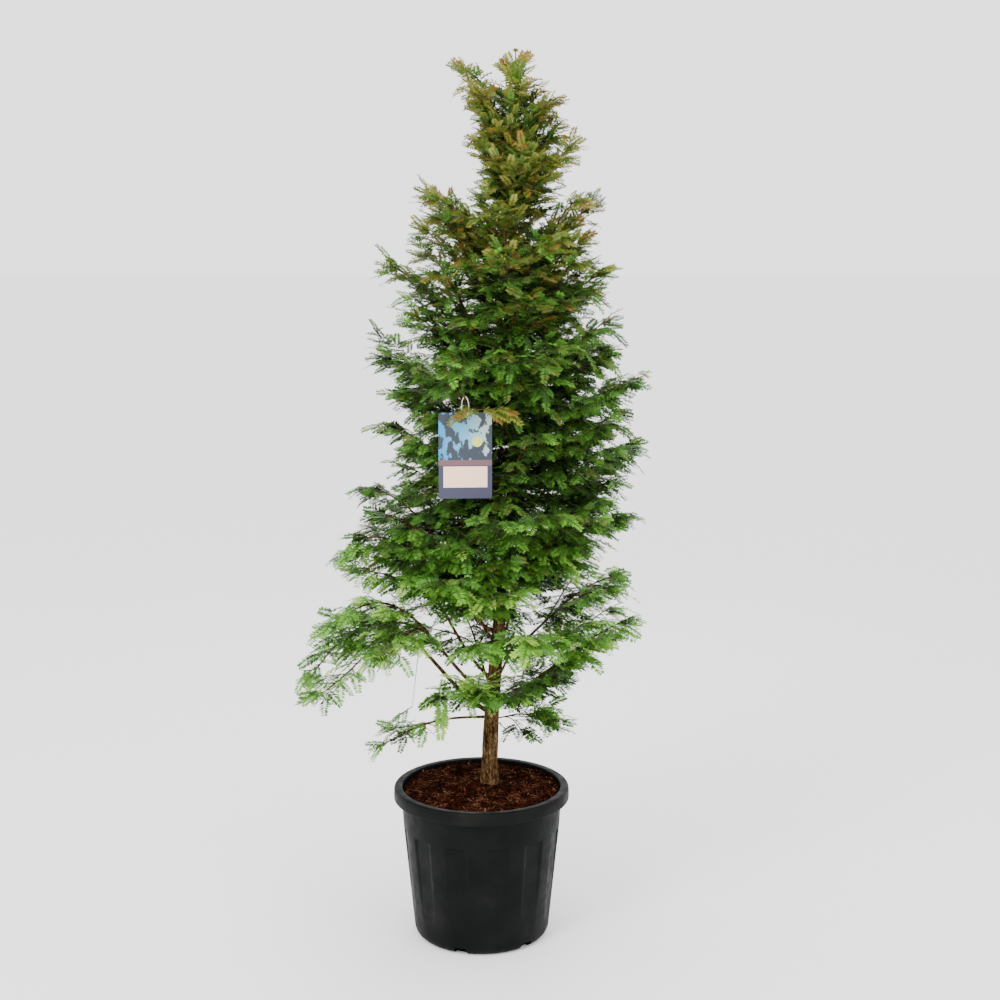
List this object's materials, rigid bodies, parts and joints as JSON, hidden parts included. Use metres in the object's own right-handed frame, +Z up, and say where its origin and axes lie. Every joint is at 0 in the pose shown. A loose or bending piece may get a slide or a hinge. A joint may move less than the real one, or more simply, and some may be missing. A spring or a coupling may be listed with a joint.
{
  "type": "potted dawn redwood",
  "caption": "Young dawn redwood with a narrow, feathery crown on a straight trunk, growing in a black nursery container with a hanging picture label.",
  "frame": {"origin": "centre of the container's flat underside", "axes": "+Z up along the container's axis, +Y towards the back of the plant, +X to the right as seen from the front"},
  "size_m": [1.0711, 0.8975, 2.6916],
  "materials": {
    "black_plastic": "near-black moulded nursery-container plastic, slightly worn satin",
    "mulch": "reddish-brown coir and bark mulch, dry and fibrous",
    "bark": "reddish-brown, stringy, vertically fissured bark",
    "lower_foliage": "soft, flat, bright green needles, slightly waxy",
    "upper_foliage": "soft, flat, olive-green needles with bronze tips",
    "card": "smooth printed label card",
    "tie_plastic": "pale flexible plastic loop"
  },
  "bodies": {
    "root": {"pot": "black_plastic", "mulch_and_root_ball": "mulch", "trunk": "bark", "bough_left_hanging": "bark", "foliage_left_hanging": "lower_foliage", "bough_left_low": "bark", "foliage_left_low": "lower_foliage", "bough_left_sweeping": "bark", "foliage_left_sweeping": "lower_foliage", "bough_left_steep": "bark", "foliage_left_steep": "lower_foliage", "bough_left_fifth": "bark", "foliage_left_fifth": "lower_foliage", "bough_left_sixth": "bark", "foliage_left_sixth": "lower_foliage", "foliage_left_seventh": "lower_foliage", "foliage_left_eighth": "upper_foliage", "foliage_left_ninth": "upper_foliage", "foliage_left_tenth": "upper_foliage", "foliage_left_eleventh": "upper_foliage", "foliage_left_top_tuft": "upper_foliage", "foliage_right_lowest": "lower_foliage", "bough_right_second": "bark", "foliage_right_second": "lower_foliage", "bough_right_strong": "bark", "foliage_right_strong": "lower_foliage", "bough_right_fourth": "bark", "foliage_right_fourth": "lower_foliage", "bough_right_fifth": "bark", "foliage_right_fifth": "lower_foliage", "foliage_right_sixth": "lower_foliage", "foliage_right_seventh": "upper_foliage", "foliage_right_eighth": "upper_foliage", "foliage_right_ninth": "upper_foliage", "foliage_right_tenth": "upper_foliage", "foliage_right_eleventh": "upper_foliage", "foliage_right_twelfth": "upper_foliage", "foliage_front_first": "lower_foliage", "bough_front_second": "bark", "foliage_front_second": "lower_foliage", "bough_front_third": "bark", "foliage_front_third": "lower_foliage", "foliage_front_fourth": "lower_foliage", "bough_front_label": "bark", "foliage_front_label": "upper_foliage", "foliage_front_sixth": "upper_foliage", "foliage_front_seventh": "upper_foliage", "foliage_front_eighth": "upper_foliage", "bough_back_first": "bark", "foliage_back_first": "lower_foliage", "bough_back_second": "bark", "foliage_back_second": "lower_foliage", "foliage_back_third": "lower_foliage", "foliage_back_fourth": "lower_foliage", "foliage_back_fifth": "upper_foliage", "foliage_back_sixth": "upper_foliage", "foliage_back_seventh": "upper_foliage", "foliage_leader": "upper_foliage", "label_tie": "tie_plastic", "label_card": "card"}
  },
  "joints": []
}
